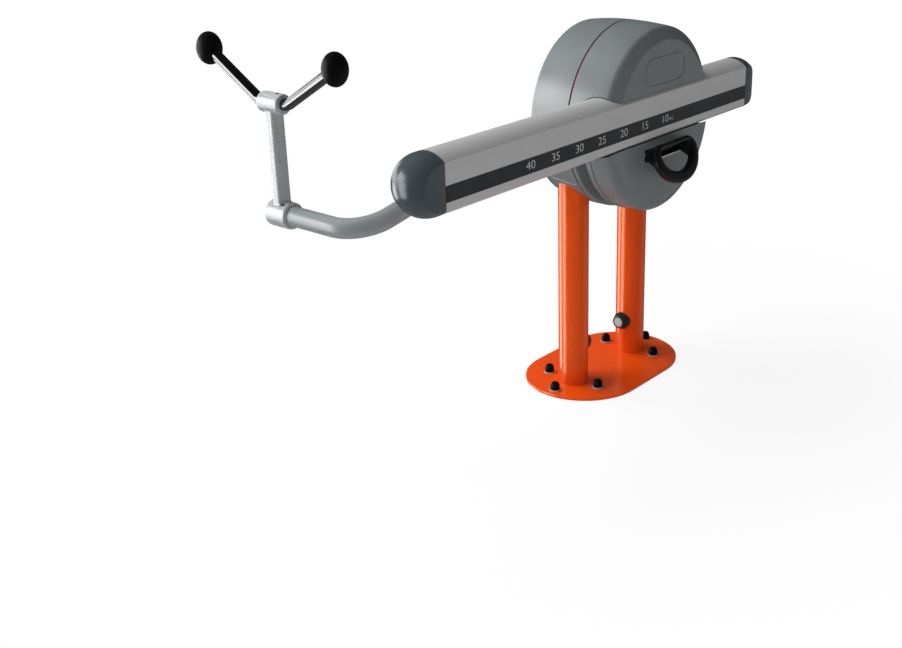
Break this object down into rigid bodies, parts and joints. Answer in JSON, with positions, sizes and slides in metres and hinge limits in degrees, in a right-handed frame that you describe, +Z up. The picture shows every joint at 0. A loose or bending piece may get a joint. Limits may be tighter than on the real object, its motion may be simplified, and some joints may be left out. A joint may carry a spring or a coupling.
{
  "type": "outdoor fitness station",
  "caption": "Post-mounted outdoor strength station: a swinging lever with turning grips lifts a beam of weight that slides through a drum and locks at scale marks.",
  "frame": {"origin": "centre of the base plate's underside, on the ground", "axes": "+X along the beam towards its weighted end, +Y away from the beam towards the grips, +Z up"},
  "size_m": [1.6961, 1.0751, 1.2402],
  "materials": {
    "orange_paint": "glossy orange powder coat",
    "grey_cover": "satin slate-grey moulding",
    "grey_paint": "satin slate-grey powder coat",
    "beam_aluminium": "satin anodised extrusion",
    "scale_black": "matt black strip with plain light numbers",
    "slate_plastic": "glossy dark slate moulding",
    "black_plastic": "glossy black moulding",
    "black_rubber": "matt black rubber",
    "silver_casting": "silver painted casting",
    "chrome": "polished",
    "zinc_steel": "bright zinc plated",
    "dark_steel": "dark plain steel",
    "glide_plastic": "off-white bearing plastic"
  },
  "bodies": {
    "base": {"base_plate": "orange_paint", "left_post": "orange_paint", "right_post": "orange_paint", "left_post_knob": "black_plastic", "right_post_knob": "black_plastic", "left_knob_disc": "zinc_steel", "right_knob_disc": "zinc_steel", "left_post_panel": "grey_cover", "right_post_panel": "grey_cover", "anchor_bolt_1": "zinc_steel", "anchor_bolt_2": "zinc_steel", "anchor_bolt_3": "zinc_steel", "anchor_bolt_4": "zinc_steel", "anchor_bolt_5": "zinc_steel", "anchor_bolt_6": "zinc_steel", "bolt_cap_1": "black_plastic", "bolt_cap_2": "black_plastic", "bolt_cap_3": "black_plastic", "bolt_cap_4": "black_plastic", "bolt_cap_5": "black_plastic", "bolt_cap_6": "black_plastic", "bearing_frame": "dark_steel", "front_bearing": "zinc_steel", "rear_bearing": "zinc_steel", "upper_stop_buffer": "black_rubber", "lower_stop_buffer": "black_rubber", "rear_shell": "grey_cover"},
    "lever": {"axle": "dark_steel", "stop_arm": "dark_steel", "carriage_plate": "beam_aluminium", "lower_drum": "grey_cover", "trim_ring": "grey_cover", "lower_cover": "grey_cover", "upper_cover": "grey_cover", "badge_panel": "grey_cover", "pawl_guide": "dark_steel", "lever_boss": "grey_paint", "axle_cap": "black_plastic", "lever_tube": "grey_paint", "upper_guide": "beam_aluminium", "lower_guide": "beam_aluminium", "upper_glide": "glide_plastic", "lower_glide": "glide_plastic", "left_handle_pin": "zinc_steel", "right_handle_pin": "zinc_steel"},
    "beam": {"beam_extrusion": "beam_aluminium", "scale_strip": "scale_black", "left_end_cap": "slate_plastic", "right_end_cap": "slate_plastic", "weight_block": "dark_steel"},
    "release": {"release_handle": "black_rubber", "release_crank": "zinc_steel"},
    "pawl": {"pawl_pin": "zinc_steel"},
    "link": {"link_arm": "silver_casting", "lower_set_screw": "dark_steel", "upper_set_screw": "dark_steel"},
    "grips": {"grip_bar": "chrome", "front_ball_knob": "black_plastic", "rear_ball_knob": "black_plastic"}
  },
  "joints": [
    {"name": "lever_swing", "type": "hinge", "parent": "base", "child": "lever", "pos_m": [0, 0, 0.919], "axis": [0, 1, 0], "range_deg": [-38, 0]},
    {"name": "beam_slide", "type": "slide", "parent": "lever", "child": "beam", "axis": [1, 0, 0], "range_m": [0, 0.684]},
    {"name": "release_pull", "type": "hinge", "parent": "lever", "child": "release", "pos_m": [0, -0.228, 0.827], "axis": [-1, 0, 0], "range_deg": [-4, 24], "stiffness_Nm_per_rad": 4, "springref_deg": 3.15},
    {"name": "pawl_travel", "type": "slide", "parent": "lever", "child": "pawl", "axis": [0, 0, -1], "range_m": [-0.0036, 0.0213]},
    {"name": "link_swivel", "type": "hinge", "parent": "lever", "child": "link", "pos_m": [-1, 0.45, 0.73366], "axis": [0, 1, 0], "range_deg": [-40, 40]},
    {"name": "grip_turn", "type": "hinge", "parent": "link", "child": "grips", "pos_m": [-1, 0.45, 1.06466], "axis": [0, 1, 0], "range_deg": [-90, 90]}
  ],
  "couplings": [
    {"joint": "pawl_travel", "follows": "release_pull", "m_per_rad": 0.0505}
  ]
}
